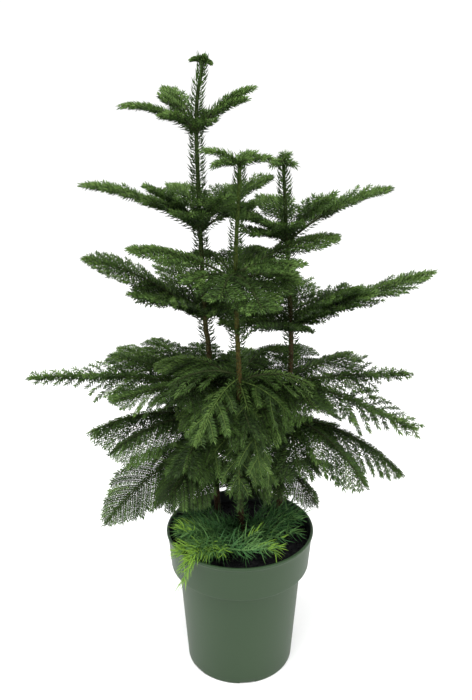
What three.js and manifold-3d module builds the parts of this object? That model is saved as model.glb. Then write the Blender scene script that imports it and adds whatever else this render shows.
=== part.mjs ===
// Norfolk Island pine: a young clump of three stems growing in one nursery pot.
// Millimetres, +Z up. The origin is the centre of the pot's flat underside.
//
// Each stem carries whorls of limbs, called tiers. A limb is one arched axis that is bare near the
// trunk and then bears side shoots in two ranks. Everything about a limb follows from its tier and
// its row there, and every small variation from a hash of its number, so the same plant grows again
// wherever the rule is written out. A side shoot is a solid toothed spray of needles.

import * as THREE from "three";
import { mergeVertices } from "three/addons/utils/BufferGeometryUtils.js";
import Module from "manifold-3d";

const wasm = await Module();
wasm.setup();

// ------------------------------------------------------------------ driving sizes

const GAP = 0.3; // clearance between pieces that touch

const POT = {
  height: 214,
  footRadius: 77.3,
  bodyTopRadius: 88.6,
  collarHeight: 54,
  collarFootRadius: 99.3,
  collarTopRadius: 103.4,
  lipRadius: 105,
  lipHeight: 4,
  wall: 2.2,
  floor: 3,
  edge: 3,
  facets: 36,
  notches: 6,
  notchWidth: 22,
  notchHeight: 2.5,
  notchDepth: 6,
};

const SOIL_TOP = 197;

const TRUNK = { footRadius: 4.6, tipRadius: 2.1, flare: 2.6, flareHeight: 9, sides: 8, step: 52 };

const LIMB = {
  bare: 0.3, // share of a limb that bears no side shoots
  rootRadius: 1.9,
  tipRadius: 1.2,
  stagger: 4.4, // neighbours in a tier start this much above or below each other
  sway: 0.05, // sideways bend at the tip, as a share of the reach
  tipSpray: 16, // length of the spray that ends a limb
  tooth: 3, // how far a limb's own needles widen every second station of its leafy part
  toothStep: 22, // from one station to the next
};

const SHOOT = {
  step: 5.6, // distance along the limb from one side shoot to the next, on alternate sides
  forkBase: 62, // angle between side shoot and limb, in degrees, near the trunk
  forkTip: 38, // the same at the limb's tip
  halfWidth: 10, // needles on both sides of the shoot's own axis
  halfDepth: 1.5,
  rootHalfWidth: 0.7,
  shortest: 7,
  toothed: 30, // longer side shoots have a second tooth on each edge
  kept: 3, // of this many pairs of side shoots, one is a solid
};

// The tuft on a stem's tip: the height of its stub, where its limbs start there, and their bare share.
const CROWN = { stub: 9, root: 4, bare: 0.15 };

const SHORTENED = [1, 0.75, 0.5]; // a side shoot in another's way is tried at these shares of its length

// Tiers from the top down. reach is the horizontal length of the longest limb, arch its rise above
// the straight line at mid-length as a share of its reach, width its longest side shoot, and sag the
// angle in degrees at which the side shoots hang. A limb is [azimuth in degrees, share of the reach,
// slope from root to tip, and for some a roll of its frond in degrees]. Azimuth 0 is +X and 90 is +Y.
// boughs counts the first limbs of a tier whose bare part is a separate bough.
const STEMS = [
  {
    name: "left",
    knots: [[-32, 40, SOIL_TOP + GAP], [-42, 24, 465], [-47, 17, 527], [-54, 11, 765], [-45.5, 10, 841]],
    crown: { reach: 13, arch: 0.1, width: 0, sag: 0,
      limbs: [[178, 1, 0], [-12, 0.75, -0.35], [60, 0.4, 0.9], [-85, 0.8, 0.1]] },
    tiers: [
      { name: "a", height: 765, reach: 92, arch: 0.13, width: 19, sag: 14, boughs: 0,
        limbs: [[181, 1, 0.34], [10, 0.78, 0.67], [125, 0.85, 0.53], [-125, 0.55, 0.5]] },
      { name: "b", height: 644, reach: 148, arch: 0.09, width: 36, sag: 4, boughs: 1,
        limbs: [[184, 1, 0.395], [20, 0.65, 0.62], [-140, 0.52, 0.68], [-72, 0.58, 0.64],
          [108, 0.82, 0.3]] },
      { name: "c", height: 525, reach: 158, arch: 0.09, width: 48, sag: 12, boughs: 1,
        limbs: [[181, 1, 0.53, -10], [-128, 0.64, 0.46], [48, 0.74, 0.52], [116, 0.92, 0.36]] },
      { name: "d", height: 425, reach: 250, arch: 0.03, width: 58, sag: 8, boughs: 0,
        limbs: [[182, 1, 0.06], [145, 0.66, 0.12], [-150, 0.58, -0.01], [68, 0.62, 0.02],
          [-84, 0.44, -0.2]] },
      { name: "e", height: 370, reach: 174, arch: 0.12, width: 62, sag: 34, boughs: 0,
        limbs: [[186, 1, -0.04], [208, 0.9, -0.1], [112, 1.02, -0.22]] },
      { name: "f", height: 330, reach: 166, arch: 0.15, width: 56, sag: 6, boughs: 0,
        limbs: [[204, 1, -0.54, -62]] },
    ],
  },
  {
    name: "middle",
    knots: [[2, 18, SOIL_TOP + GAP], [-1, -6, 312], [-1.6, -25, 453], [-6.5, -30, 590], [-1, -30, 726]],
    crown: { reach: 46, arch: 0.1, width: 13, sag: 12,
      limbs: [[172, 1, 0.3], [-142, 0.92, -0.03], [4, 0.95, 0.06], [66, 0.8, 0.2], [-60, 0.4, 0.3]] },
    tiers: [
      { name: "b", height: 590, reach: 132, arch: 0.1, width: 44, sag: 20, boughs: 0,
        limbs: [[184, 1, 0.32], [22, 1.12, 0.27], [-44, 0.72, 0.27], [78, 1.05, 0.08]] },
      { name: "c", height: 453, reach: 130, arch: 0.14, width: 46, sag: 24, boughs: 0,
        limbs: [[-66, 0.62, -1.4], [-122, 0.8, -0.5], [56, 1.05, -0.05], [150, 1, 0]] },
      { name: "d", height: 372, reach: 112, arch: 0.14, width: 42, sag: 26, boughs: 0,
        limbs: [[-92, 0.8, -0.5]] },
    ],
  },
  {
    name: "right",
    knots: [[56, 40, SOIL_TOP + GAP], [63.6, 27, 340], [68.5, 20, 483], [59.6, 20, 628], [53.5, 20, 721]],
    crown: { reach: 24, arch: 0.15, width: 10, sag: 20,
      limbs: [[-20, 0.7, -0.25], [200, 0.7, -0.25], [-105, 0.7, 0.1], [80, 1, 0.3]] },
    tiers: [
      { name: "b", height: 628, reach: 132, arch: 0.1, width: 38, sag: 4, boughs: 1,
        limbs: [[2, 1, 0.51], [163, 0.74, 0.38], [-42, 0.5, 0.84], [98, 0.86, 0.36]] },
      { name: "c", height: 509, reach: 186, arch: 0.045, width: 52, sag: 10, boughs: 1,
        limbs: [[0, 1, 0.43], [-40, 0.5, 0.74], [84, 0.72, 0.22], [162, 0.62, 0.24]] },
      { name: "d", height: 432, reach: 170, arch: 0.03, width: 56, sag: 16, boughs: 0,
        limbs: [[4, 1, 0.05], [-20, 1.04, -0.26], [40, 0.75, 0.04]] },
      { name: "e", height: 374, reach: 166, arch: 0.14, width: 56, sag: 30, boughs: 0,
        limbs: [[-10, 1, -0.43], [-42, 0.84, -0.42], [66, 1, -0.26]] },
      { name: "f", height: 300, reach: 90, arch: 0.1, width: 30, sag: 24, boughs: 0,
        limbs: [[-52, 0.85, -0.4]] },
    ],
  },
];

// Soft young shoots that start from the foot of one stem and lie on the soil, one fan to each side.
// A limb of a fan is [azimuth, share of the reach, slope].
const FANS = [
  { name: "left", azimuth: -155, limbs: [[-121, 1.1, 0.03], [-160, 0.76, 0.02], [158, 0.7, 0.04]] },
  { name: "right", azimuth: -20, limbs: [[-66, 0.76, 0.03], [-22, 0.66, 0.04], [18, 0.8, 0.05]] },
];
const FAN = {
  stem: "middle",
  height: 207,
  stub: 9,
  reach: 118,
  arch: 0.09,
  width: 22,
  sag: 2,
  bare: 0.1,
  step: 18,
  halfWidth: 5,
  tooth: 8,
  toothStep: 12,
  kept: 1,
};

const COLOURS = {
  pot: 0x566f56,
  soil: 0x17120f,
  bark: 0x4a3524,
  bough: 0x39471f,
  spray: 0x35561f,
};

// ------------------------------------------------------------------ small helpers

const radians = THREE.MathUtils.degToRad;
const mix = THREE.MathUtils.lerp;
const vector = (x, y, z) => new THREE.Vector3(x, y, z);

// A number from 0 to 1 that depends only on the two whole numbers given.
function chance(limb, draw) {
  let hash = Math.imul(limb + 1, 0x9e3779b1) ^ Math.imul(draw + 1, 0x85ebca6b);
  hash = Math.imul(hash ^ (hash >>> 15), 0x2c1b3c6d);
  hash = Math.imul(hash ^ (hash >>> 12), 0x297a2d39);
  return ((hash ^ (hash >>> 15)) >>> 0) / 2 ** 32;
}

// A closed geometry as a solid that can be joined and cut.
function solidOf(geometry) {
  geometry.deleteAttribute("normal");
  geometry.deleteAttribute("uv");
  const merged = mergeVertices(geometry, 1e-4);
  const index = merged.index.array;
  const faces = [];
  for (let i = 0; i < index.length; i += 3) {
    const [a, b, c] = [index[i], index[i + 1], index[i + 2]];
    if (a !== b && b !== c && c !== a) faces.push(a, b, c);
  }
  return new wasm.Manifold(new wasm.Mesh({
    numProp: 3,
    vertProperties: Float32Array.from(merged.attributes.position.array),
    triVerts: Uint32Array.from(faces),
  }));
}

function meshOf(name, solid, color, roughness) {
  const { vertProperties, triVerts } = solid.getMesh();
  const geometry = new THREE.BufferGeometry();
  geometry.setAttribute("position", new THREE.BufferAttribute(vertProperties, 3));
  geometry.setIndex(new THREE.BufferAttribute(triVerts, 1));
  const material = new THREE.MeshStandardMaterial({ color, roughness, metalness: 0 });
  const mesh = new THREE.Mesh(geometry, material);
  mesh.name = name;
  return mesh;
}

// A solid lofted through stations. Each has a centre, the direction of the path there, a direction
// for its width, and half its width and depth. A pointed loft closes on its last station's centre.
function loft(stations, sides, pointed) {
  const places = [];
  for (const { at, along, side, width, depth } of stations) {
    const up = vector().crossVectors(along, side);
    for (let i = 0; i < sides; i += 1) {
      const angle = Math.PI / 2 + (2 * Math.PI * i) / sides;
      const place = at.clone().addScaledVector(side, width * Math.cos(angle));
      places.push(place.addScaledVector(up, depth * Math.sin(angle)));
    }
  }
  const faces = [];
  const rings = pointed ? stations.length - 1 : stations.length;
  const last = (rings - 1) * sides;
  for (let i = 0; i < sides; i += 1) {
    const next = (i + 1) % sides;
    for (let ring = 0; ring < rings - 1; ring += 1) {
      const [near, far] = [ring * sides, (ring + 1) * sides];
      faces.push(near + i, near + next, far + next, near + i, far + next, far + i);
    }
    if (pointed) faces.push(last + i, last + next, rings * sides);
  }
  for (let i = 1; i < sides - 1; i += 1) {
    faces.push(0, i + 1, i);
    if (!pointed) faces.push(last, last + i, last + i + 1);
  }
  if (pointed) places.splice(rings * sides, sides, stations[rings].at);
  const geometry = new THREE.BufferGeometry().setFromPoints(places);
  geometry.setIndex(faces);
  return solidOf(geometry);
}

// ------------------------------------------------------------------ pot and soil

// A profile of [radius, height] pairs turned round the Z axis.
function turned(profile) {
  const points = profile.map(([radius, height]) => new THREE.Vector2(radius, height));
  return solidOf(new THREE.LatheGeometry(points, POT.facets).rotateX(Math.PI / 2));
}

function buildPot() {
  const step = POT.height - POT.collarHeight;
  const lip = POT.height - POT.lipHeight;
  const shell = turned([
    [0, 0],
    [POT.footRadius - POT.edge, 0],
    [POT.footRadius, POT.edge],
    [POT.bodyTopRadius, step],
    [POT.collarFootRadius, step],
    [POT.collarTopRadius, lip],
    [POT.lipRadius, lip],
    [POT.lipRadius, POT.height],
    [POT.collarTopRadius - POT.wall, POT.height],
    [POT.collarFootRadius - POT.wall, step + POT.wall],
    [POT.bodyTopRadius - POT.wall, step + POT.wall],
    [POT.footRadius - POT.wall, POT.floor],
    [0, POT.floor],
  ]);
  let pot = shell;
  for (let i = 0; i < POT.notches; i += 1) {
    const notch = new THREE.BoxGeometry(2 * POT.notchDepth, POT.notchWidth, 2 * POT.notchHeight)
      .translate(POT.footRadius, 0, 0)
      .rotateZ(radians(-82) + (2 * Math.PI * i) / POT.notches);
    pot = pot.subtract(solidOf(notch));
  }
  return pot;
}

function buildSoil() {
  const ledge = POT.height - POT.collarHeight + POT.wall + GAP;
  const inside = (radius) => radius - POT.wall - GAP;
  const collarShare = (SOIL_TOP - ledge) / (POT.height - ledge);
  return turned([
    [0, POT.floor + GAP],
    [inside(POT.footRadius), POT.floor + GAP],
    [inside(POT.bodyTopRadius), ledge],
    [inside(POT.collarFootRadius), ledge],
    [inside(mix(POT.collarFootRadius, POT.collarTopRadius, collarShare)), SOIL_TOP],
    [0, SOIL_TOP],
  ]);
}

// ------------------------------------------------------------------ stems

function stemCurve(stem) {
  const knots = stem.knots.map((knot) => vector(...knot));
  return new THREE.CatmullRomCurve3(knots, false, "catmullrom", 0.5);
}

// The stem's centre at a height, found by halving the curve's range.
function stemAt(stem, height) {
  const curve = stemCurve(stem);
  let [low, high] = [0, 1];
  for (let i = 0; i < 30; i += 1) {
    const middle = (low + high) / 2;
    if (curve.getPoint(middle).z < height) low = middle;
    else high = middle;
  }
  return curve.getPoint(low);
}

function trunkRadius(stem, height) {
  const top = stem.knots[stem.knots.length - 1][2];
  const share = (height - SOIL_TOP) / (top - SOIL_TOP);
  const flare = TRUNK.flare * Math.exp(-(height - SOIL_TOP) / TRUNK.flareHeight);
  return mix(TRUNK.footRadius, TRUNK.tipRadius, share) + flare;
}

function buildTrunk(stem) {
  const foot = stem.knots[0][2];
  const top = stem.knots[stem.knots.length - 1][2];
  const heights = [foot, foot + TRUNK.flareHeight, foot + 2.5 * TRUNK.flareHeight];
  const steps = Math.round((top - heights[2]) / TRUNK.step);
  for (let i = 1; i <= steps; i += 1) heights.push(mix(heights[2], top, i / steps));
  const stations = heights.map((height) => {
    const [at, radius] = [stemAt(stem, height), trunkRadius(stem, height)];
    return { at, along: vector(0, 0, 1), side: vector(1, 0, 0), width: radius, depth: radius };
  });
  return loft(stations, TRUNK.sides, false);
}

// ------------------------------------------------------------------ limbs and side shoots

// The point of a limb at a share of its reach.
function limbAt(limb, share) {
  const out = limb.reach * share;
  const sideways = limb.reach * limb.sway * share * share;
  const height = limb.reach * (limb.slope * share + 4 * limb.arch * share * (1 - share));
  return limb.root.clone()
    .addScaledVector(limb.outward, out)
    .addScaledVector(limb.side, sideways)
    .add(vector(0, 0, height));
}

function limbStation(limb, share, width, depth) {
  const step = 0.001;
  const along = limbAt(limb, share + step).sub(limbAt(limb, share - step)).normalize();
  const level = limb.side.clone().addScaledVector(along, -limb.side.dot(along)).normalize();
  return { at: limbAt(limb, share), along, side: level.applyAxisAngle(along, limb.roll), width, depth };
}

function limbRadius(share) {
  return mix(LIMB.rootRadius, LIMB.tipRadius, share);
}

function limbTube(limb, from, to, sides) {
  const steps = Math.ceil(((to - from) * limb.reach) / limb.toothStep);
  const stations = [];
  for (let i = 0; i <= steps; i += 1) {
    const share = mix(from, to, i / steps);
    const radius = limbRadius(share);
    const tooth = i % 2 && i < steps && share > limb.bare ? limb.tooth : 0;
    stations.push(limbStation(limb, share, radius + tooth, radius));
  }
  return loft(stations, sides, false);
}

// The length of a side shoot at a share of the leafy part: half full at its start, longest at about a
// third, and short at the tip.
function shootLength(limb, leafy, draw) {
  const outline = 0.1 + 0.9 * Math.sin(Math.PI * (0.2 + 0.8 * leafy)) ** 0.9;
  return limb.width * outline * (0.88 + 0.24 * draw);
}

// Every side shoot of a limb, as its place, its direction, the direction of its width, and its length.
function sideShoots(limb) {
  const length = limb.reach * Math.hypot(1, limb.slope);
  const count = Math.floor((length * (1 - limb.bare) - LIMB.tipSpray * 0.4) / limb.step);
  const shoots = [];
  for (let i = 0; i < count; i += 1) {
    const share = limb.bare + ((i + 0.6 * chance(limb.number, 4 * i)) * limb.step) / length;
    const leafy = (share - limb.bare) / (1 - limb.bare);
    const { at, along, side } = limbStation(limb, share, 0, 0);
    const up = vector().crossVectors(along, side);
    const hand = i % 2 ? 1 : -1;
    const spread = 10 * (chance(limb.number, 4 * i + 1) - 0.5);
    const fork = radians(mix(SHOOT.forkBase, SHOOT.forkTip, leafy) + spread);
    const sag = radians(limb.sag + 12 * (chance(limb.number, 4 * i + 2) - 0.5));
    const direction = along.clone().multiplyScalar(Math.cos(fork))
      .addScaledVector(side, hand * Math.sin(fork) * Math.cos(sag))
      .addScaledVector(up, -Math.sin(fork) * Math.sin(sag));
    const across = along.clone().addScaledVector(direction, -along.dot(direction)).normalize();
    const reach = shootLength(limb, leafy, chance(limb.number, 4 * i + 3));
    if (reach > SHOOT.shortest) shoots.push({ number: i, at, direction, across, length: reach });
  }
  return shoots;
}

// One spray of needles as a toothed blade with a ridge. spare makes it larger all round.
function blade(shoot, length, halfWidth, spare) {
  const teeth = length > SHOOT.toothed
    ? [[0, 0], [0.3, 1], [0.5, 0.55], [0.7, 0.9]]
    : [[0, 0], [0.4, 1]];
  const stations = teeth.map(([share, full]) => ({
    at: shoot.at.clone().addScaledVector(shoot.direction, share * length),
    along: shoot.direction,
    side: shoot.across,
    width: mix(SHOOT.rootHalfWidth, halfWidth, full) + spare,
    depth: mix(SHOOT.rootHalfWidth * 0.7, SHOOT.halfDepth, full) + spare,
  }));
  stations.push({ ...stations[0], at: shoot.at.clone().addScaledVector(shoot.direction, length + spare) });
  return loft(stations, 3, true);
}

// ------------------------------------------------------------------ keeping each piece to its own space

const taken = []; // { name, solid, box } for every piece placed so far

function claim(name, solid) {
  taken.push({ name, solid, box: solid.boundingBox() });
  return solid;
}

function boxesMeet(one, other) {
  return [0, 1, 2].every((axis) => one.min[axis] < other.max[axis] && one.max[axis] > other.min[axis]);
}

// The name of a piece of another node that the solid meets, or undefined.
function meets(name, solid) {
  const box = solid.boundingBox();
  return taken.find((piece) => piece.name !== name && boxesMeet(box, piece.box)
    && !solid.intersect(piece.solid).isEmpty())?.name;
}

// ------------------------------------------------------------------ masses

const masses = [];
const crossings = [];

function newLimb(root, [azimuth, share, slope, roll = 0], tier, number) {
  const angle = radians(azimuth);
  return {
    number,
    root,
    outward: vector(Math.cos(angle), Math.sin(angle), 0),
    side: vector(-Math.sin(angle), Math.cos(angle), 0),
    reach: tier.reach * share,
    slope,
    roll: radians(roll),
    arch: tier.arch,
    width: tier.width,
    sag: tier.sag,
    step: tier.step ?? SHOOT.step,
    bare: tier.bare ?? LIMB.bare,
    halfWidth: tier.halfWidth ?? SHOOT.halfWidth,
    tooth: tier.tooth ?? LIMB.tooth,
    toothStep: tier.toothStep ?? LIMB.toothStep,
    kept: tier.kept ?? SHOOT.kept,
    sway: LIMB.sway * (2 * chance(number, 901) - 1),
  };
}

// The share of a limb at which it is clear of its trunk.
function trunkShare(limb, trunk) {
  const rootSlope = limb.slope + 4 * limb.arch;
  const tilt = Math.abs(rootSlope) / Math.hypot(1, rootSlope);
  return (trunk + GAP + LIMB.rootRadius * tilt + 0.15) / limb.reach;
}

function addTierLimb(group, stem, tier, row, number) {
  const height = tier.height + LIMB.stagger * ((row % 3) - 1);
  const limb = newLimb(stemAt(stem, height), tier.limbs[row], tier, number);
  const name = `${stem.name}_${tier.name}${row + 1}`;
  let start = trunkShare(limb, trunkRadius(stem, tier.height));
  if (row < tier.boughs) {
    const end = limb.bare - 0.02;
    const bough = claim(`bough_${name}`, limbTube(limb, start, end, 6));
    group.add(meshOf(`bough_${name}`, bough, COLOURS.bough, 0.85));
    start = end + GAP / (limb.reach * Math.hypot(1, limb.slope));
  }
  addMass(`spray_${name}`, [limb], limbTube(limb, start, tubeEnd(limb), 3));
}

// A mass of several limbs that share one stub.
function addTuft(name, stub, limbs) {
  const tubes = limbs.map((limb) => limbTube(limb, 0, tubeEnd(limb), 3));
  addMass(name, limbs, tubes.reduce((whole, tube) => whole.add(tube), stub));
}

function addMass(name, limbs, stem) {
  const other = meets(name, stem);
  if (other) crossings.push(`${name} crosses ${other}`);
  masses.push({ name, limbs, solid: claim(name, stem) });
}

function upright(at, height, radius) {
  const station = { along: vector(0, 0, 1), side: vector(1, 0, 0), width: radius, depth: radius };
  return loft([{ ...station, at }, { ...station, at: at.clone().setZ(at.z + height) }], 6, false);
}

function addCrown(stem, number) {
  const tip = vector(...stem.knots[stem.knots.length - 1]);
  const stub = upright(tip.clone().setZ(tip.z + GAP), CROWN.stub, TRUNK.tipRadius);
  const root = tip.clone().setZ(tip.z + CROWN.root);
  const tier = { ...stem.crown, bare: CROWN.bare };
  const limbs = stem.crown.limbs.map((row, i) => newLimb(root, row, tier, number + i));
  addTuft(`crown_${stem.name}`, stub, limbs);
}

function addFan(fan, number) {
  const stem = STEMS.find((each) => each.name === FAN.stem);
  const line = newLimb(stemAt(stem, FAN.height), [fan.azimuth, 1, 0], { reach: FAN.stub, arch: 0 }, number);
  const from = (trunkRadius(stem, FAN.height) + GAP) / FAN.stub;
  const ends = [from, 1 + from].map((share) => limbStation(line, share, LIMB.rootRadius, LIMB.rootRadius));
  const root = limbAt(line, 0.8 + from);
  const limbs = fan.limbs.map((row, i) => newLimb(root, row, FAN, number + i));
  addTuft(`shoots_${fan.name}`, loft(ends, 6, false), limbs);
}

function tipLength(limb) {
  return Math.min(LIMB.tipSpray, 0.4 * limb.reach);
}

// A limb's tube runs a little way into the spray that ends the limb.
function tubeEnd(limb) {
  return 1 - (0.7 * tipLength(limb)) / limb.reach;
}

// The spray that ends a limb, lying along it.
function tipShoot(limb) {
  const length = tipLength(limb);
  const { at, along, side } = limbStation(limb, 1 - length / limb.reach, 0, 0);
  return { at, direction: along, across: side, length };
}

function growMass(mass) {
  let solid = mass.solid;
  for (const limb of mass.limbs) {
    const kept = sideShoots(limb).filter((shoot) => Math.floor(shoot.number / 2) % limb.kept === 0);
    for (const shoot of [tipShoot(limb), ...kept]) {
      const share = SHORTENED.find((each) => shoot.length * each > SHOOT.shortest
        && !meets(mass.name, blade(shoot, shoot.length * each, limb.halfWidth, GAP)));
      if (share) solid = solid.add(claim(mass.name, blade(shoot, shoot.length * share, limb.halfWidth, 0)));
    }
  }
  return meshOf(mass.name, solid, COLOURS.spray, 0.7);
}

// ------------------------------------------------------------------ the plant

const plant = new THREE.Group();
plant.add(meshOf("pot", claim("pot", buildPot()), COLOURS.pot, 0.6));
plant.add(meshOf("soil", claim("soil", buildSoil()), COLOURS.soil, 1));
for (const stem of STEMS) {
  const name = `trunk_${stem.name}`;
  plant.add(meshOf(name, claim(name, buildTrunk(stem)), COLOURS.bark, 0.9));
}

let number = 0;
for (const stem of STEMS) {
  addCrown(stem, number);
  number += stem.crown.limbs.length;
  for (const tier of stem.tiers) {
    for (let row = 0; row < tier.limbs.length; row += 1) {
      addTierLimb(plant, stem, tier, row, number);
      number += 1;
    }
  }
}
for (const fan of FANS) {
  addFan(fan, number);
  number += fan.limbs.length;
}
if (crossings.length) throw new Error(crossings.join(", "));
for (const mass of masses) plant.add(growMass(mass));

export default plant;
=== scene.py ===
"""A potted Norfolk Island pine: the looks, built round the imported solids.

The plant grows by the same rule as the part's own source: stems with tiers of limbs, and limbs with
side shoots in two ranks. Here the side shoots are thin and curved and stand closer together, and each
has its needles set round it or beside it. Sizes in the tables are millimetres. They become metres when
a mesh is made.
"""

import math
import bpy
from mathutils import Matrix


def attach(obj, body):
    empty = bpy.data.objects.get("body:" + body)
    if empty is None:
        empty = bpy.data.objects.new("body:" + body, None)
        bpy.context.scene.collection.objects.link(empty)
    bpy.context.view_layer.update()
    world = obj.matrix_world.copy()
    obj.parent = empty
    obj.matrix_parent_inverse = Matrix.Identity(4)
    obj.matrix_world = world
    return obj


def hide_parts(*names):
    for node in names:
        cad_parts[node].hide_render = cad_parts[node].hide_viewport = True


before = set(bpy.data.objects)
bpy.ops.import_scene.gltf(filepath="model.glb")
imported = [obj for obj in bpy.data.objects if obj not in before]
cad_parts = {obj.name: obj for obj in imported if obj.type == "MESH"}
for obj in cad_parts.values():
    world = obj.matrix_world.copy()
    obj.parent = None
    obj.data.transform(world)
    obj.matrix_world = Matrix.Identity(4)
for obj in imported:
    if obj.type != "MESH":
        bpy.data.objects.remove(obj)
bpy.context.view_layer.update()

from types import SimpleNamespace

import bpy
import numpy as np

MM = 0.001
RNG = np.random.default_rng(41)
UP = np.array([0.0, 0.0, 1.0])
RIGHT = np.array([1.0, 0.0, 0.0])
GOLDEN_ANGLE = math.radians(137.508)  # from one needle of a spiral to the next
CAMERA_PLACE = (-0.0057, -1.013, 0.852)  # in metres, as are the lamps' places
CAMERA_PITCH = 20
CAMERA_LENS = 41.86
LAMPS_AIM = (0, 0, 0.4)

# ------------------------ the plant's sizes, in millimetres

SOIL_TOP = 197
POT_HEIGHT = 214
FOOT_RADIUS = 77.3
BODY_TOP_RADIUS = 88.6
COLLAR_HEIGHT = 54
COLLAR_FOOT_RADIUS = 99.3
COLLAR_TOP_RADIUS = 103.4
LIP_RADIUS = 105
LIP_HEIGHT = 4
WALL = 2.2
FLOOR = 3
NOTCHES = 6
NOTCH_WIDTH = 22
NOTCH_HEIGHT = 2.5
NOTCH_DEPTH = 6
NOTCH_ANGLE = -82
NOTCH_SIDE = 0.12  # degrees to either side of a notch's edge, over which its sides rise
TURN_STEP = 2.5  # degrees between columns of the pot's points
FOOT_ROUND = 3.0  # radii of its rounded edges
COLLAR_ROUND = 1.2
LIP_ROUND = 1.1
RIM_ROUND = 0.8
RIM_POINTS = 4
AXIS_GAP = 0.6  # how near to the axis the turned profile goes

SOIL_RINGS = 44
SOIL_SPOKES = 150
SOIL_CENTRE = 0.5
SOIL_GAP = 0.4
SOIL_EDGE_GAP = 1.2
SOIL_ROUGHNESS = 0.55
SWELLS = ((1, 22), (2, 13), (3, 7))  # waves of its top: folds round the pot and size
SWELL_HEIGHT = 0.035
SOIL_SUNK = 0.8
CRUMBS = 420
CRUMB_SIZE = (0.7, 2.6)
CRUMB_MARGIN = 6  # how far crumbs stay from the collar

TRUNK_FOOT_RADIUS = 4.6
TRUNK_TIP_RADIUS = 2.1
TRUNK_FLARE = 2.6
TRUNK_FLARE_HEIGHT = 9
TIER_SWELL = 0.9
TIER_SWELL_HEIGHT = 5
BARK_STEP = 1.8
BARK_SIDES = 18
BARK_SCARS = 0.035  # relief as a share of the radius
BARK_FLAKES = 0.03
BARK_CHANGES = (330, 640)  # the heights between which its colour changes

# A tier's age is 0 at the youngest one's height, 1 at so much below it, and more in the lowest tiers.
YOUNGEST_TIER = 765
AGE_SPAN = 465
TOP_AGE = 0.1
YOUNG_AGE = 0.6
OLD_AGE = 0.8
BARE_AGE = 0.5  # above it the rule's solids leave the inner part of a limb bare

LIMB_BARE = 0.3
LIMB_ROOT_RADIUS = 1.9
LIMB_TIP_RADIUS = 0.7
LIMB_STAGGER = 4.4
LIMB_SWAY = 0.05
LIMB_STEP = 2.6
LIMB_SIDES = 7
LIMB_KNOTS = 0.09
LIMB_FLAKES = 0.05
LIMB_FLARE = 0.7
LIMB_FLARE_LENGTH = 4
LIMB_END = 2  # how far before a limb's tip its wood ends
SWAY_DRAW = 901
TIP_BARE = 4  # no side shoot stands nearer to a limb's tip
BUD_REACH = 16  # a limb shorter than this is a closed bud
LIGHT_RIBS = 3  # soft limbs that keep one in so many pairs of side shoots have light and thin wood
RIB_RADIUS = 0.5

SHOOT_STEP = 5.6
SHOOT_FORK_BASE = 62
SHOOT_FORK_TIP = 38
SHOOT_SHORTEST = 5
# This many side shoots stand here where the rule's own step has one, by the limb's age.
FINER = ((0, 1.8), (0.4, 1.5), (0.78, 1.5), (0.84, 1.42))
STEP_VARIES = (0.3, 0.15)  # from the youngest limbs to those of age 1
FORK_VARIES = (7, 3)
SAG_VARIES = 12
REACH_VARIES = (0.92, 0.16)
INNER_SHARE = 0.1  # where the first side shoots of old limbs stand, on the part that the solids leave bare
FROND_START = 0.2  # a frond's outline is a sine curve from here on, raised to a power and by its end's width
FROND_POWER = 0.9
FROND_END = 0.1
TAPER = ((0.78, 0.48), (0.84, 0.35))  # how much shorter than in the rule its end is, by the limb's age
# A limb with a tail narrows between these shares of its frond. From there on its width is that share of the
# table times TAIL_START less the place on the frond, and its side shoots stand down and up in turn.
TAIL = (0.2, 0.45)
TAIL_START = 1.5
TAIL_RISE = (-24, 44)
TAIL_SHORTEST = 4
BEND = 0.34  # how much a side shoot bends towards its limb's tip
LIFT = (0.30, -0.15)  # how much its own tip rises from the frond, from the youngest limbs to those of age 1
RISE = (0, 9)  # degrees by which pairs of side shoots rise in turn, on the youngest limbs
OLD_RISE = 0.7  # how much less they rise at age 1
DROOP = ((0.5, 0), (0.75, 0.45), (1, 0.55))  # how much side shoots bend down, by the limb's age
DROOP_END = 0.8  # up to OLD_AGE they do so only up to this share of the frond, less over its last stretch
DROOP_FADES = 0.4

CROWN_ROOT = 4
CROWN_BARE = 0.15

# How far side shoots stay from the soil and the rim, from the middle of the wall, and from a stem.
SOIL_ROOM = 1.5
WALL_ROOM = 3.6
STEM_ROOM = 0.8


def new_tier(height, reach, arch, width, sag, limbs, more, **special):
    return {"height": height, "reach": reach, "arch": arch, "width": width, "sag": sag,
            "limbs": limbs, "more": more, **special}


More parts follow.
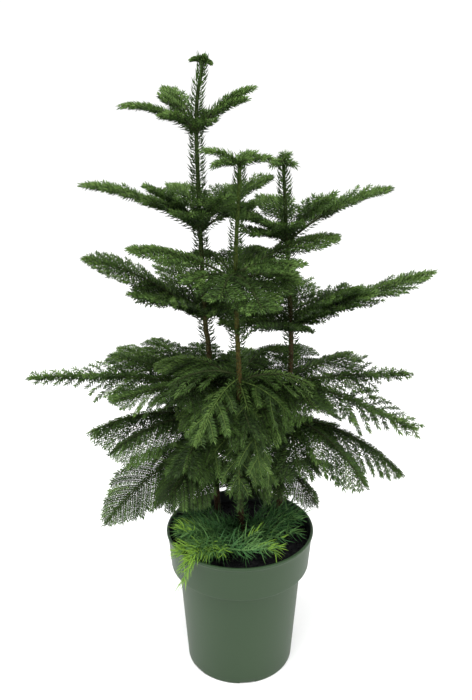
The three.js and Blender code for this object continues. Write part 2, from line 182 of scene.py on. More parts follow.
# A tier has its height on the stem, the reach of its longest limb, the rise of its limbs' arch as a share of
# their reach, the length of its longest side shoot and the degrees by which they hang. Then come its limbs,
# and more that fill it up. A limb is (azimuth in degrees, share of the reach, slope, and for some a roll in
# degrees). What is special about some limbs is given by their azimuth: "tails" with their share of the width,
# "soft" ones, which keep one in so many pairs of side shoots and have long needles in two ranks, and "bushy"
# ones with the needles of a young tier.
LEFT_TIERS = [
    new_tier(765, 92, 0.13, 19, 14,
        [(181, 1, 0.34), (10, 0.78, 0.67), (125, 0.85, 0.53), (-125, 0.55, 0.5)],
        [(-14, 0.7, 0.64), (200, 0.5, 0.36), (60, 0.4, 0.4), (-60, 0.34, 0.5), (150, 0.58, 0.74)]),
    new_tier(644, 148, 0.09, 36, 4,
        [(184, 1, 0.395), (20, 0.65, 0.62), (-140, 0.52, 0.68), (-72, 0.58, 0.64), (108, 0.82, 0.3)],
        [(-20, 0.5, 0.5), (62, 0.6, 0.45), (150, 0.55, 0.3), (-105, 0.42, 0.5), (212, 0.5, 0.5)]),
    new_tier(525, 158, 0.09, 48, 12,
        [(181, 1, 0.53, -10), (-128, 0.64, 0.46), (48, 0.74, 0.52), (116, 0.92, 0.36)],
        [(8, 0.6, 0.16), (-60, 0.42, 0.4), (150, 0.6, 0.3), (205, 0.62, 0.45), (80, 0.5, 0.25)]),
    new_tier(425, 250, 0.03, 58, 8,
        [(182, 1, 0.06), (145, 0.66, 0.12), (-150, 0.58, -0.01), (68, 0.62, 0.02), (-84, 0.44, -0.2)],
        [(15, 0.36, 0.05), (100, 0.5, 0.12), (-115, 0.4, 0.05), (160, 0.62, 0.17), (-35, 0.34, 0),
         (130, 0.6, 0.13)],
        tails={182: 0.4}, bushy=(182,)),
    new_tier(370, 174, 0.12, 62, 34,
        [(186, 1, -0.04), (208, 0.9, -0.1), (112, 1.02, -0.22)],
        [(20, 0.5, -0.1), (70, 0.7, -0.1), (150, 0.6, -0.2), (-60, 0.5, -0.3), (-110, 0.62, -0.25)],
        bushy=(186, 20, -60, -110)),
    new_tier(330, 166, 0.15, 56, 6,
        [(204, 1, -0.54, -62)],
        [(230, 0.6, -0.5), (185, 0.5, -0.5), (150, 0.6, -0.5), (-120, 0.5, -0.6), (100, 0.55, -0.4),
         (40, 0.5, -0.35), (215, 0.55, -0.75)]),
    new_tier(408, 130, 0.1, 60, 60, [],
        [(40, 0.6, 0), (76, 0.8, 0), (118, 0.9, 0.05)]),
    new_tier(352, 120, 0.1, 60, 60, [],
        [(28, 0.5, -0.1), (60, 0.8, -0.1), (96, 0.8, -0.1), (140, 0.9, -0.1)]),
]
MIDDLE_TIERS = [
    new_tier(590, 132, 0.1, 44, 20,
        [(184, 1, 0.32), (22, 1.12, 0.27), (-44, 0.72, 0.27), (78, 1.05, 0.08)],
        [(-5, 0.6, 0.05), (120, 0.8, 0.1), (-104, 0.62, -0.1), (50, 0.9, -0.1), (215, 0.5, 0.1),
         (-72, 0.72, -0.22), (-30, 0.5, -0.1)]),
    new_tier(453, 130, 0.14, 46, 24,
        [(-66, 0.62, -1.4), (-122, 0.8, -0.5), (56, 1.05, -0.05), (150, 1, 0)],
        [(5, 0.75, -0.1), (100, 0.8, -0.1), (190, 0.7, -0.1), (-25, 0.6, -0.5)],
        soft={-66: 3, -122: 3, -25: 3, 5: 2, 190: 2}),
    new_tier(372, 112, 0.14, 42, 26,
        [(-92, 0.8, -0.5)],
        [(10, 0.7, -0.4), (70, 0.9, -0.1), (114, 0.9, -0.1), (200, 0.8, -0.4), (-45, 0.6, -0.8),
         (-140, 0.6, -0.7)],
        soft={-92: 3, -45: 3, -140: 3, 10: 2}),
    new_tier(415, 110, 0.1, 54, 55, [],
        [(24, 0.8, -0.05), (90, 0.8, 0), (160, 0.8, -0.05), (-24, 0.62, -0.1), (-78, 0.56, -0.15),
         (-118, 0.5, -0.1), (202, 0.7, -0.05)]),
    new_tier(318, 96, 0.12, 52, 46, [],
        [(36, 0.7, -0.15), (78, 0.8, -0.1), (122, 0.8, -0.1), (164, 0.7, -0.15), (-20, 0.5, -0.3)]),
    new_tier(290, 84, 0.1, 44, 30, [],
        [(20, 0.8, -0.1), (58, 0.9, -0.1), (96, 0.8, -0.1), (118, 0.9, -0.1), (172, 0.8, -0.1),
         (-60, 0.3, -0.3)]),
    new_tier(262, 90, 0.07, 36, 16, [],
        [(48, 0.9, -0.06), (84, 0.9, -0.06), (120, 0.9, -0.06)]),
]
RIGHT_TIERS = [
    new_tier(628, 132, 0.1, 38, 4,
        [(2, 1, 0.51), (163, 0.74, 0.38), (-42, 0.5, 0.84), (98, 0.86, 0.36)],
        [(-100, 0.4, 0.6), (40, 0.62, 0.5), (200, 0.55, 0.4), (225, 0.5, 0.3)]),
    new_tier(509, 186, 0.045, 52, 10,
        [(0, 1, 0.43), (-40, 0.5, 0.74), (84, 0.72, 0.22), (162, 0.62, 0.24)],
        [(-100, 0.36, 0.4), (45, 0.5, 0.3), (-25, 0.6, 0.5), (25, 0.5, 0.52), (125, 0.55, 0.1),
         (205, 0.5, 0.1)]),
    new_tier(432, 170, 0.03, 56, 16,
        [(4, 1, 0.05), (-20, 1.04, -0.26), (40, 0.75, 0.04)],
        [(80, 0.7, 0.12), (130, 0.7, 0), (185, 0.45, 0), (-70, 0.5, -0.1), (-115, 0.45, -0.1)],
        tails={4: 0.34, -20: 0.55}, bushy=(4, -20)),
    new_tier(374, 166, 0.14, 56, 30,
        [(-10, 1, -0.43), (-42, 0.84, -0.42), (66, 1, -0.26)],
        [(25, 0.45, -0.4), (110, 0.8, -0.2), (160, 0.6, -0.2), (-80, 0.5, -0.5), (-130, 0.5, -0.4)],
        bushy=(-10, -42, 66, 25, 110, 160, -80, -130)),
    new_tier(300, 90, 0.1, 30, 24,
        [(-52, 0.85, -0.4)],
        [(20, 0.9, -0.2), (100, 0.9, -0.2), (-100, 0.7, -0.4), (170, 0.7, -0.2)]),
    new_tier(402, 130, 0.1, 60, 60, [],
        [(60, 0.8, 0), (100, 0.8, 0), (140, 0.7, 0.05)]),
    new_tier(345, 120, 0.1, 60, 60, [],
        [(40, 0.9, -0.1), (84, 0.8, -0.1), (122, 0.8, -0.1), (155, 0.6, -0.1)]),
]
STEMS = [
    {"name": "left", "tiers": LEFT_TIERS,
     "knots": [(-32, 40, SOIL_TOP), (-42, 24, 465), (-47, 17, 527), (-54, 11, 765), (-45.5, 10, 841)],
     "crown": {"reach": 13, "arch": 0.1, "width": 0, "sag": 0, "bare": CROWN_BARE,
               "limbs": [(178, 1, 0), (-12, 0.75, -0.35), (60, 0.4, 0.9), (-85, 0.8, 0.1)]}},
    {"name": "middle", "tiers": MIDDLE_TIERS,
     "knots": [(2, 18, SOIL_TOP), (-1, -6, 312), (-1.6, -25, 453), (-6.5, -30, 590), (-1, -30, 726)],
     "crown": {"reach": 46, "arch": 0.1, "width": 13, "sag": 12, "bare": CROWN_BARE,
               "limbs": [(172, 1, 0.3), (-142, 0.92, -0.03), (4, 0.95, 0.06), (66, 0.8, 0.2),
                         (-60, 0.4, 0.3)]}},
    {"name": "right", "tiers": RIGHT_TIERS,
     "knots": [(56, 40, SOIL_TOP), (63.6, 27, 340), (68.5, 20, 483), (59.6, 20, 628), (53.5, 20, 721)],
     "crown": {"reach": 24, "arch": 0.15, "width": 10, "sag": 20, "bare": CROWN_BARE,
               "limbs": [(-20, 0.7, -0.25), (200, 0.7, -0.25), (-105, 0.7, 0.1), (80, 1, 0.3)]}},
]

# Soft young shoots that lie on the soil, from the foot of the middle stem to both sides.
FANS = [
    {"azimuth": -155, "limbs": [(-121, 1.1, 0.03), (-160, 0.76, 0.02), (158, 0.7, 0.04)],
     "more": [(-140, 0.8, 0.1), (180, 0.66, 0.16), (-98, 0.62, 0.1), (-76, 0.8, 0.08)],
     "over": [(-118, 1.14, -0.08), (-124, 1.08, -0.05), (-114, 1.08, -0.06), (-116, 1.1, -0.1),
              (-121, 1.1, -0.11), (-113, 1.12, -0.11)]},
    {"azimuth": -20, "limbs": [(-66, 0.76, 0.03), (-22, 0.66, 0.04), (18, 0.8, 0.05)],
     "more": [(0, 0.66, 0.14), (-44, 0.5, 0.16), (44, 0.6, 0.16)], "over": []},
]
GOLDEN = (-121, -118, -124, -114, -116, -113, -66, 6)  # azimuths of the shoots with golden tips
FAN_HEIGHT = 207
FAN_STUB = 9  # a fan's shoots part on a stub of this length, at this share of it out from the bark
FAN_PARTING = 0.8
FAN_TIER = {"reach": 118, "arch": 0.09, "width": 22, "sag": 2, "bare": 0.1, "golden": 0.5}
OVER_TIER = {**FAN_TIER, "arch": 0.2, "golden": 0.9}  # young shoots that hang over the pot's rim
ACROSS = {"from": -121, "at": 0.78, "row": (6, 1, 0)}  # one that lies along the front of the soil
YOUNG_FORKS = (0.3, 0.46, 0.62)  # where a young shoot forks, as shares of it
YOUNG_FORK_ANGLE = 38
YOUNG_FORK_VARIES = 14
YOUNG_FORK_REACH = 0.66  # a fork's length as a share of its shoot's, less this part of where it forks
YOUNG_FORK_TAPER = 0.6
FOOT_HEIGHTS = (SOIL_TOP + 6, 262)  # where thin needles stand at the foot of the middle stem
LEADER_START = 380  # the height from which the stems have needles

# ------------------------ colours and needles

# Colours of needles, dark to light.
NEEDLE_COLOURS = {
    "dark": (0.007, 0.016, 0.003),
    "deep": (0.013, 0.028, 0.006),
    "green": (0.025, 0.050, 0.010),
    "fresh": (0.042, 0.082, 0.016),
    "bright": (0.080, 0.138, 0.032),
}
YOUNG_COLOURS = {
    "shade": (0.018, 0.052, 0.014),
    "green": (0.036, 0.100, 0.030),
    "light": (0.080, 0.170, 0.048),
    "gold": (0.150, 0.270, 0.034),
}
# TWIG_COLOUR is the twigs' own dark green, darkened further as painted shade inside the foliage.
TWIG_COLOUR = (0.016, 0.022, 0.007)
LIMB_COLOUR = (0.022, 0.030, 0.009)
RIB_COLOUR = (0.062, 0.100, 0.021)
# Bark at a stem's foot, half way up and at its tip.
BARK_COLOURS = {
    "left": ((0.040, 0.024, 0.014), (0.044, 0.034, 0.015), (0.022, 0.038, 0.010)),
    "middle": ((0.038, 0.024, 0.013), (0.052, 0.044, 0.012), (0.034, 0.056, 0.011)),
    "right": ((0.040, 0.024, 0.013), (0.040, 0.030, 0.015), (0.022, 0.038, 0.010)),
}


def needle_kind(spacing, length, lean, curl, width, ranked=False, loose=1):
    return SimpleNamespace(spacing=spacing, length=length, lean=lean, curl=curl, width=width,
                           ranked=ranked, loose=loose)


# Millimetres from one needle to the next, length at the start and at the tip of their shoot, lean from the
# shoot there in degrees, bend towards the shoot's tip, and width. Ranked needles stand in two ranks beside
# their shoot, and others all round it. Loose ones vary so many times as much.
LEADER = needle_kind(0.46, (15.5, 14), (84, 66), 0.95, 1.8)
BUD = needle_kind(0.14, (6.5, 4.5), (34, 16), 0.3, 2.0)
TOP_SHOOT = needle_kind(0.55, (7.4, 5.4), (62, 42), 0.6, 1.6)
BARE_LIMB = needle_kind(0.9, (11.5, 11), (72, 66), 0.8, 1.7)
LEAFY_LIMB = needle_kind(0.52, (10, 6.5), (68, 54), 0.7, 1.6)
YOUNG_SHOOT = needle_kind(0.6, (8.6, 6.4), (66, 50), 0.5, 1.6)
SIDE_SHOOT = needle_kind(0.38, (8.2, 6), (62, 46), 0.5, 1.3)
OLD_SHOOT = needle_kind(0.5, (7.2, 6.2), (76, 62), 0.25, 1.0, ranked=True)
SOFT_SHOOT = needle_kind(1.0, (9, 7.5), (74, 60), 0.6, 1.2, ranked=True)
YOUNG_AXIS = needle_kind(1.15, (26, 16), (80, 42), 1.0, 1.5, loose=3)
FOOT_NEEDLE = needle_kind(1.1, (17, 14), (74, 60), 0.9, 1.3, loose=2)
OLD_SCALE = 0.8  # how long needles are on a limb of age 1, to those on the youngest
OLD_FLAT = 0.95  # how much they lie beside their shoots there
RANK_SPREAD = 0.2  # how far needles stray from their rank or their spiral, in radians
SPIRAL_SPREAD = 0.16
RANKED_ROLL = 0.3  # how far needles are rolled about their own axis, in radians
SPIRAL_ROLL = 0.6
CLOSING = 0.86  # from this share of a shoot on, its needles close towards its tip, to half their lean
TURN = 6.28  # a full turn, as exact as the random start of a spiral needs
SUNK = 0.6  # needles start at this share of their wood's radius
LENGTH_VARIES = 0.1
LEAN_VARIES = 4
CURL_VARIES = 0.3
NEEDLE_BEND = 0.45  # the share of its length where a needle bends
AWL_KEEL = 0.34  # depth of a folded needle and half the breadth of a blade's foot, to the needle's width
BLADE_FOOT = 0.3
RIBBON_SWAY = 0.35
RIBBON_CURL = 1.6
# The radius from which needles rise, at the start and at the tip of what they stand on.
BUD_WOOD = (2.2, 1.2)
BARE_WOOD = (1.9, 1.6)
LEAFY_WOOD = (1.5, 0.5)
TWIG_WOOD = (0.5, 0.3)
YOUNG_WOOD = (1.1, 0.6)
# The radii of a side shoot's own twig.
TWIG_RADII = (0.7, 0.4)
OLD_TWIG_RADII = (0.9, 0.6)

# How light a spray is, from 0 to 1, and what makes it lighter or darker.
LIGHTNESS = 0.57
LEADER_LIGHTNESS = 0.47
# Limbs are lighter towards their tips: partly their young needles, partly painted shade on the inner part
# near the stem.
LIMB_TIP_LIGHTER = 0.33
LIMB_TIP_OLD = 0.4  # how much less of that is left on an old limb
# Lower, older tiers are dealt darker: partly their older needles, partly painted shade under the tiers above.
OLD_AND_SHADED_DARKER = 0.14
DARKER_AGE = 0.3
# Painted shade: limbs of older tiers that face the front are dealt darker and lose most of their lighter
# tips, wholly so from FULL_FRONT_AGE on.
FRONT_PAINTED_SHADE = 0.07
FULL_FRONT_AGE = 0.5
# Painted shade: filler limbs, which stand further in, are dealt darker colours.
FILLER_PAINTED_SHADE = 0.07
RIBBED_LIGHTER = 0.1
SPRAY_VARIES = 0.12
TIP_LIGHTER = 0.24  # how much lighter the tip of a spray is than its start
TIP_LIGHTER_FROM = 0.4
TOP_PAINTED_LIGHT = 0.14  # painted light from above: how much lighter its upper needles are than those beside it
NEEDLE_VARIES = 0.05
YOUNG_LIGHTNESS = 0.31
YOUNG_VARIES = 0.08
FOOT_LIGHTNESS = 0.5

# ------------------------ small helpers


def chance(limb, draw):
    """A number from 0 to 1 that depends only on the two whole numbers given, as in the source."""
    mask = 0xFFFFFFFF
    mixed = ((limb + 1) * 0x9E3779B1 ^ (draw + 1) * 0x85EBCA6B) & mask
    mixed = ((mixed ^ mixed >> 15) * 0x2C1B3C6D) & mask
    mixed = ((mixed ^ mixed >> 12) * 0x297A2D39) & mask
    return (mixed ^ mixed >> 15) / 2 ** 32


def unit(vectors):
    return vectors / np.linalg.norm(vectors, axis=-1, keepdims=True)


def mix(start, end, share):
    return start + (end - start) * share


def mesh_piece(name, points, faces, material, smooth=True):
    """A piece from points in millimetres and faces of one size, riding on the plant's only body."""
    faces = np.asarray(faces, dtype=np.int32)
    count, corners = faces.shape
    mesh = bpy.data.meshes.new(name)
    mesh.vertices.add(len(points))
    mesh.vertices.foreach_set("co", (np.asarray(points) * MM).astype(np.float32).ravel())
    mesh.loops.add(count * corners)
    mesh.loops.foreach_set("vertex_index", faces.ravel())
    mesh.polygons.add(count)
    mesh.polygons.foreach_set("loop_start", np.arange(0, count * corners, corners, dtype=np.int32))
    mesh.polygons.foreach_set("use_smooth", np.full(count, smooth))
    mesh.update(calc_edges=True)
    mesh.materials.append(material)
    piece = bpy.data.objects.new(name, mesh)
    bpy.context.scene.collection.objects.link(piece)
    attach(piece, "root")
    return piece


def joined(parts):
    """Several (points, faces) pairs as one."""
    points, faces, count = [], [], 0
    for part_points, part_faces in parts:
        points.append(part_points)
        faces.append(np.asarray(part_faces) + count)
        count += len(part_points)
    return np.concatenate(points), np.concatenate(faces)


# ------------------------ stems


def stem_curve(knots, samples=400):
    """Points along a uniform Catmull-Rom curve through the knots, with its ends mirrored."""
    knots = np.array(knots, dtype=float)
    ends = np.vstack([2 * knots[0] - knots[1], knots, 2 * knots[-1] - knots[-2]])
    spans = len(knots) - 1
    place = np.linspace(0, spans, samples)
    span = np.minimum(place.astype(int), spans - 1)
    t = (place - span)[:, None]
    before, start, end, after = (ends[span + i] for i in range(4))
    out, into = (end - before) / 2, (after - start) / 2
    return (start + out * t + (3 * (end - start) - 2 * out - into) * t ** 2
            + (2 * (start - end) + out + into) * t ** 3)


def stem_at(stem, height):
    """The stem's centre at one height or several."""
    curve = stem["curve"]
    return np.stack([np.interp(height, curve[:, 2], curve[:, axis]) for axis in range(3)], axis=-1)


def stem_path(stem, heights):
    """The stem's centre line through these heights, which goes straight on past its ends."""
    path = stem_at(stem, heights)
    path[:, 2] = heights
    return path


def trunk_radius(stem, height):
    share = (height - SOIL_TOP) / (stem["knots"][-1][2] - SOIL_TOP)
    flare = TRUNK_FLARE * np.exp(-(height - SOIL_TOP) / TRUNK_FLARE_HEIGHT)
    return mix(TRUNK_FOOT_RADIUS, TRUNK_TIP_RADIUS, share) + flare


# ------------------------ limbs


def new_limb(root, row, tier, stem="", age=0.0, number=0):
    azimuth, share, slope, roll = (*row, 0)[:4]
    angle = math.radians(azimuth)
    return SimpleNamespace(
        number=number,
        stem=stem,
        age=age,
        azimuth=azimuth,
        root=root,
        outward=np.array([math.cos(angle), math.sin(angle), 0]),
        side=np.array([-math.sin(angle), math.cos(angle), 0]),
        reach=tier["reach"] * share,
        slope=slope,
        roll=math.radians(roll),
        arch=tier["arch"],
        width=tier["width"],
        sag=tier["sag"],
        soft=tier.get("soft", {}).get(azimuth, 0),
        golden=tier.get("golden", 0) if azimuth in GOLDEN else 0,
        tail=tier.get("tails", {}).get(azimuth, 0),
        bushy=azimuth in tier.get("bushy", ()),
        filler=row in tier.get("more", ()),
        bare=tier.get("bare", LIMB_BARE),
        sway=LIMB_SWAY * (2 * chance(number, SWAY_DRAW) - 1),
    )


def limb_at(limb, share):
    share = np.asarray(share, dtype=float)[..., None]
    rise = limb.reach * (limb.slope * share + 4 * limb.arch * share * (1 - share))
    return (limb.root + limb.outward * limb.reach * share
            + limb.side * limb.reach * limb.sway * share ** 2 + UP * rise)


def limb_frame(limb, share):
    """The directions along a limb, across its frond and up from the frond."""
    step = 0.001
    along = unit(limb_at(limb, share + step) - limb_at(limb, share - step))
    level = unit(limb.side - along * (along @ limb.side)[..., None])
    raised = np.cross(along, level)
    side = level * math.cos(limb.roll) + raised * math.sin(limb.roll)
    return along, side, np.cross(along, side)


def fan_root(fan, stem, number):
    """Where a fan's shoots part, on a short stub that leaves the stem."""
    stub_tier = {"reach": FAN_STUB, "arch": 0, "width": 0, "sag": 0}
    stub = new_limb(stem_at(stem, FAN_HEIGHT), (fan["azimuth"], 1, 0), stub_tier, number=number)
    return limb_at(stub, FAN_PARTING + trunk_radius(stem, FAN_HEIGHT) / FAN_STUB)


def all_limbs():
    """Every limb, numbered as in the source, and then the ones that the source leaves out."""
    limbs = []

    def add(root, rows, tier, stem, age=0.0):
        for row in rows:
            limbs.append(new_limb(root, row, tier, stem, age, len(limbs)))

    def add_tier(stem, tier, rows):
        age = (YOUNGEST_TIER - tier["height"]) / AGE_SPAN
        for index, row in enumerate(rows):
            height = tier["height"] + LIMB_STAGGER * (index % 3 - 1)
            add(stem_at(stem, height), [row], tier, stem["name"], age)

    for stem in STEMS:
        stem["curve"] = stem_curve(stem["knots"])
        top = np.array(stem["knots"][-1], dtype=float) + UP * CROWN_ROOT
        add(top, stem["crown"]["limbs"], stem["crown"], stem["name"])
        for tier in stem["tiers"]:
            add_tier(stem, tier, tier["limbs"])
    for fan in FANS:
        fan["root"] = fan_root(fan, STEMS[1], len(limbs))
        add(fan["root"], fan["limbs"], FAN_TIER, "fan")
    for fan in FANS:
        add(fan["root"], fan["more"], FAN_TIER, "fan")
        add(fan["root"], fan["over"], OVER_TIER, "fan")
    parent = next(limb for limb in limbs if limb.stem == "fan" and limb.azimuth == ACROSS["from"])
    add(limb_at(parent, ACROSS["at"]), [ACROSS["row"]], FAN_TIER, "fan")
    for stem in STEMS:
        for tier in stem["tiers"]:
            add_tier(stem, tier, tier["more"])
    return limbs


# ------------------------ side shoots


def blocked(points):
    """Whether each point lies inside a stem, the soil or the pot's wall, with a little room."""
    radius = np.hypot(points[:, 0], points[:, 1])
    height = points[:, 2]
    inside = (height < SOIL_TOP + SOIL_ROOM) & (radius < LIP_RADIUS + SOIL_ROOM)
    inside |= (height < POT_HEIGHT + SOIL_ROOM) & (np.abs(radius - COLLAR_TOP_RADIUS) < WALL_ROOM)
    for stem in STEMS:
        centre = stem_at(stem, np.clip(height, SOIL_TOP, stem["knots"][-1][2]))
        inside |= np.linalg.norm(points - centre, axis=1) < trunk_radius(stem, height) + STEM_ROOM
    return inside


def shoot_reach(limb, leafy, draw):
    """How long a side shoot is at its place on the frond."""
    swell = math.sin(math.pi * mix(FROND_START, 1, max(leafy, 0))) ** FROND_POWER
    outline = mix(FROND_END, 1, swell)
    outline *= 1 - np.interp(limb.age, *zip(*TAPER)) * leafy ** 2
    if limb.tail:
        outline = mix(outline, limb.tail * (TAIL_START - leafy), np.interp(leafy, TAIL, (0, 1)))
    outline += min(leafy, 0)
    return limb.width * outline * (REACH_VARIES[0] + REACH_VARIES[1] * draw)


def side_shoots(limb):
    """The side shoots of a limb, each with its path, the way up from the frond and its place there."""
    length = limb.reach * math.hypot(1, limb.slope)
    step = SHOOT_STEP / np.interp(limb.age, *zip(*FINER))
    count = int((length * (1 - limb.bare) - TIP_BARE) / step)
    inner = 0
    if limb.age > BARE_AGE and not limb.soft:
        inner = int((limb.bare - INNER_SHARE) * length / step)
    age = min(limb.age, 1)
    shoots = []
    for i in range(-inner, count):
        if limb.soft and i // 2 % limb.soft:
            continue
        draws = [chance(limb.number, 4 * i + draw) for draw in range(4)]
        share = limb.bare + (i + mix(*STEP_VARIES, age) * draws[0]) * step / length
        leafy = (share - limb.bare) / (1 - limb.bare)
        along, side, up = limb_frame(limb, np.array(share))
        hand = 1 if i % 2 else -1
        spread = mix(*FORK_VARIES, age) * (draws[1] - 0.5)
        fork = math.radians(mix(SHOOT_FORK_BASE, SHOOT_FORK_TIP, leafy) + spread)
        rise = RISE[i // 2 % 2] * (1 - OLD_RISE * limb.age)
        if limb.tail and leafy > TAIL[0]:
            rise = TAIL_RISE[i // 2 % 2]
        sag = math.radians(limb.sag + SAG_VARIES * (draws[2] - 0.5) - rise)
        reach = shoot_reach(limb, leafy, draws[3])
        if reach <= (TAIL_SHORTEST if limb.tail else SHOOT_SHORTEST):
            continue
        heading = (along * math.cos(fork) + side * hand * math.sin(fork) * math.cos(sag)
                   - up * math.sin(fork) * math.sin(sag))
        path = curved_path(limb_at(limb, share), heading, along, up, reach, limb, leafy)
        hits = np.flatnonzero(blocked(path))
        if len(hits):
            path = path[:hits[0]]
        if len(path) > 2:
            shoots.append(SimpleNamespace(path=path, up=up, leafy=leafy))
    return shoots


def curved_path(start, heading, along, up, reach, limb, leafy, points=6):
    """A side shoot's centre line: it bends towards the limb's tip, and its own tip lifts or droops."""
    share = np.linspace(0, 1, points)[:, None]
    held = 1 if limb.age > OLD_AGE else min(max((DROOP_END - leafy) / DROOP_FADES, 0), 1)
    droop = UP * held * np.interp(limb.age, *zip(*DROOP))
    lift = up * mix(*LIFT, min(limb.age, 1)) - droop
    way = unit(heading * (1 - BEND * share) + along * BEND * share + lift * share ** 2)
    moves = (way[1:] + way[:-1]) / 2 * reach / (points - 1)
    return start + np.vstack([np.zeros(3), np.cumsum(moves, axis=0)])


# ------------------------ needles as arrays


def needles_on(path, reference, kind, scale, radius, flat=0.0):
    """Needles set round a path in a golden spiral, the more beside it the nearer flat is to 1."""
    steps = np.linalg.norm(np.diff(path, axis=0), axis=1)
    reached = np.concatenate([[0], np.cumsum(steps)])
    whole = reached[-1]
    count = max(int(whole / kind.spacing), 1)
    place = (np.arange(count) + 0.5) * whole / count
    share = place / whole
    tangents = unit(np.gradient(path, reached, axis=0))
    at, tangent = (np.stack([np.interp(place, reached, values[:, axis]) for axis in range(3)], axis=-1)
                   for values in (path, tangents))
    tangent = unit(tangent)
    first = unit(reference - tangent * (tangent @ reference)[:, None])
    second = np.cross(tangent, first)
    if kind.ranked:
        turn = math.pi * (np.arange(count) % 2 + 0.5) + RNG.normal(0, RANK_SPREAD, count)
    else:
        turn = np.arange(count) * GOLDEN_ANGLE + RNG.uniform(0, TURN)
        turn = turn + flat / 2 * np.sin(2 * turn) + RNG.normal(0, SPIRAL_SPREAD, count)
    radial = first * np.cos(turn)[:, None] + second * np.sin(turn)[:, None]
    opening = 1 - 0.5 * np.clip((share - CLOSING) / (1 - CLOSING), 0, 1)

    def varied(spread):
        return 1 + kind.loose * RNG.uniform(-spread, spread, count)

    return {
        "at": at + radial * (mix(*radius, share) * SUNK)[:, None],
        "tangent": tangent,
        "radial": radial,
        "length": scale * mix(*kind.length, share) * varied(LENGTH_VARIES),
        "lean": np.radians(mix(*kind.lean, share) * opening + kind.loose * RNG.normal(0, LEAN_VARIES, count)),
        "curl": kind.curl * varied(CURL_VARIES),
        "width": np.full(count, kind.width),
        "roll": RNG.normal(math.pi / 2, RANKED_ROLL if kind.ranked else SPIRAL_ROLL, count),
        "share": share,
    }


def needle_axes(needles):
    """Each needle's heading, the direction across its shoot, and that of its own width."""
    tangent, radial = needles["tangent"], needles["radial"]
    lean, roll = needles["lean"][:, None], needles["roll"][:, None]
    heading = tangent * np.cos(lean) + radial * np.sin(lean)
    across = np.cross(tangent, radial)
    return heading, across, across * np.cos(roll) + np.cross(heading, across) * np.sin(roll)


def repeated(points, faces):
    """One mesh of all needles, from the places of one needle's corners on each and one needle's faces."""
    first = np.arange(len(points[0])) * len(points)
    faces = np.array(faces)[None] + first[:, None, None]
    return np.stack(points, axis=1).reshape(-1, 3), faces.reshape(-1, 3)


def needle_mesh(needles, shape):
    """Needles that bend once: a folded awl with a keel, a flat blade or a flat lance."""
    base, tangent = needles["at"], needles["tangent"]
    length, width, curl = (needles[key][:, None] for key in ("length", "width", "curl"))
    heading, _, side = needle_axes(needles)
    bend = base + heading * length * NEEDLE_BEND
    tip = bend + unit(heading + tangent * curl) * length * (1 - NEEDLE_BEND)
    points = [base, bend + side * width / 2, tip, bend - side * width / 2]
    if shape == "lance":
        return repeated(points, [(0, 1, 3), (1, 2, 3)])
    if shape == "blade":
        foot = [base + side * width * BLADE_FOOT, base - side * width * BLADE_FOOT]
        return repeated([foot[0], *points[1:], foot[1]], [(0, 1, 3), (0, 3, 4), (1, 2, 3)])
    keel = np.cross(heading, side) * width * AWL_KEEL
    points = [base, points[1] - keel, tip, points[3] - keel, bend]
    return repeated(points, [(0, 1, 4), (1, 2, 4), (0, 4, 3), (4, 2, 3)])


def curved_needle_mesh(needles, stations=5):
    """Long needles as ribbons that bend all along and narrow to a point."""
    at, tangent = needles["at"], needles["tangent"]
    length, width, curl = (needles[key][:, None] for key in ("length", "width", "curl"))
    heading, across, side = needle_axes(needles)
    sway = across * RNG.normal(0, RIBBON_SWAY, (len(at), 1))
    points = []
    for station in range(stations):
        share = station / stations
        half = side * width * 0.5 * (1 - share ** 2)
        points += [at + half, at - half]
        at = at + unit(heading + (tangent * curl + sway) * share * RIBBON_CURL) * length / stations
    points.append(at)
    last = 2 * stations - 2
    faces = []
    for near in range(0, last, 2):
        faces += [(near, near + 2, near + 1), (near + 1, near + 2, near + 3)]
    return repeated(points, [*faces, (last, last + 2, last + 1)])


def tube(path, radii, sides, reference=UP):
    """A closed tube round a path, with a radius at each point, ended by flat caps."""
    tangent = unit(np.gradient(path, axis=0))
    first = unit(reference - tangent * (tangent @ reference)[:, None])
    second = np.cross(tangent, first)
    turn = np.linspace(0, 2 * math.pi, sides, endpoint=False)
    ring = first[:, None] * np.cos(turn)[None, :, None] + second[:, None] * np.sin(turn)[None, :, None]
    radii = np.asarray(radii, dtype=float)
    if radii.ndim == 1:
        radii = radii[:, None] * np.ones(sides)
    points = (path[:, None] + ring * radii[..., None]).reshape(-1, 3)
    row = np.arange(len(path) - 1)[:, None] * sides
    near, after = np.arange(sides), (np.arange(sides) + 1) % sides
    walls = np.stack([row + near, row + after, row + sides + after, row + near, row + sides + after,
                      row + sides + near], axis=-1).reshape(-1, 3)
    last = (len(path) - 1) * sides
    fan = np.array([(0, i + 1, i) for i in range(1, sides - 1)])
    caps = np.concatenate([fan, last + fan[:, ::-1]])
    return points, np.concatenate([walls, caps])


# ------------------------ materials


def principled(name, colour, roughness, specular=0.35):
    material = bpy.data.materials.new(name)
    material.use_nodes = True
    shader = material.node_tree.nodes["Principled BSDF"]
    shader.inputs["Base Color"].default_value = (*colour, 1)
    shader.inputs["Roughness"].default_value = roughness
    shader.inputs["Specular IOR Level"].default_value = specular
    return material, material.node_tree, shader


def noise(tree, scale, detail=4.0, stretch=(1, 1, 1)):
    coordinates = tree.nodes.new("ShaderNodeTexCoord")
    mapping = tree.nodes.new("ShaderNodeMapping")
    mapping.inputs["Scale"].default_value = stretch
    texture = tree.nodes.new("ShaderNodeTexNoise")
    texture.inputs["Scale"].default_value = scale
    texture.inputs["Detail"].default_value = detail
    tree.links.new(coordinates.outputs["Object"], mapping.inputs["Vector"])
    tree.links.new(mapping.outputs["Vector"], texture.inputs["Vector"])
    return texture.outputs["Fac"]


